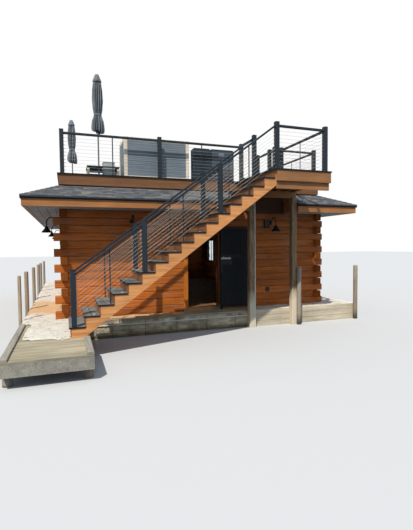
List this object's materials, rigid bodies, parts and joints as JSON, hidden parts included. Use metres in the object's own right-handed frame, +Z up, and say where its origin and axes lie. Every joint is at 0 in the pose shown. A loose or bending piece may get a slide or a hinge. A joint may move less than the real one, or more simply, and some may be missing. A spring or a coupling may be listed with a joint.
{
  "type": "boathouse",
  "caption": "Log boathouse on a dock crib, with a sliding door, a hipped skirt eave, an outside stair and a railed roof deck.",
  "frame": {"origin": "water level, under the middle of the log walls' outer footprint", "axes": "+X to the right along the front wall, +Y from the front wall to the back, +Z up"},
  "size_m": [8.9425, 14.48, 6.525],
  "materials": {
    "concrete": "weathered concrete, matt",
    "cream_boards": "painted, worn",
    "dock_boards": "bare, weathered",
    "dock_timber": "bare, weathered",
    "pile_timber": "bare, weathered",
    "logs": "oiled, satin",
    "floor_boards": "bare, matt",
    "trim_wood": "stained, satin",
    "door_paint": "painted, satin",
    "grey_steel": "brushed",
    "black_metal": "satin",
    "window_paint": "painted, satin",
    "glass": "clear",
    "dark_timber": "stained, matt",
    "soffit_boards": "painted, matt",
    "shingles": "granular, matt",
    "rim_timber": "stained, matt",
    "stringer_timber": "stained, satin",
    "grey_boards": "composite, matt",
    "white_plastic": "satin",
    "slate_metal": "satin",
    "black_plastic": "satin",
    "grey_plastic": "satin",
    "cream_timber": "bare, matt",
    "grey_slats": "painted, matt",
    "unit_metal": "matt",
    "pole_metal": "satin",
    "cover_cloth": "woven, matt"
  },
  "bodies": {
    "house": {"dock_crib": "concrete", "dock_face_boards": "cream_boards", "dock_boards": "dock_boards", "walkway_timbers": "dock_timber", "piles": "pile_timber", "front_wall_left": "logs", "front_wall_right": "logs", "front_wall_header": "logs", "left_wall": "logs", "right_wall": "logs", "back_wall": "logs", "floor": "floor_boards", "door_frame": "trim_wood", "door_track": "black_metal", "door_guide": "black_metal", "window_frames": "window_paint", "window_glass": "glass", "deck_band": "dark_timber", "soffit": "soffit_boards", "fascia": "trim_wood", "drip_edge": "black_metal", "skirt_roof": "shingles", "deck_frame": "rim_timber", "roof_deck": "grey_boards", "landing_frame": "rim_timber", "landing_boards": "grey_boards", "landing_beams": "rim_timber", "landing_posts": "pile_timber", "stair_treads": "grey_boards", "stair_risers": "rim_timber", "stair_stringers": "stringer_timber", "step_lights": "white_plastic", "deck_railings": "slate_metal", "landing_railings": "slate_metal", "stair_railings": "slate_metal", "lamp_arms": "black_metal", "lamp_shades": "black_metal", "wall_boxes": "black_plastic", "conduits": "grey_plastic", "cabinet_frame": "cream_timber", "cabinet_panels": "grey_slats", "louvred_units": "unit_metal", "low_table": "grey_slats", "parasol_poles": "pole_metal", "parasol_covers": "cover_cloth"},
    "door": {"door_leaf": "door_paint", "door_hangers": "black_metal", "door_hasp": "grey_steel"}
  },
  "joints": [
    {"name": "door_slide", "type": "slide", "parent": "house", "child": "door", "axis": [-1, 0, 0], "range_m": [0, 0.914]}
  ]
}
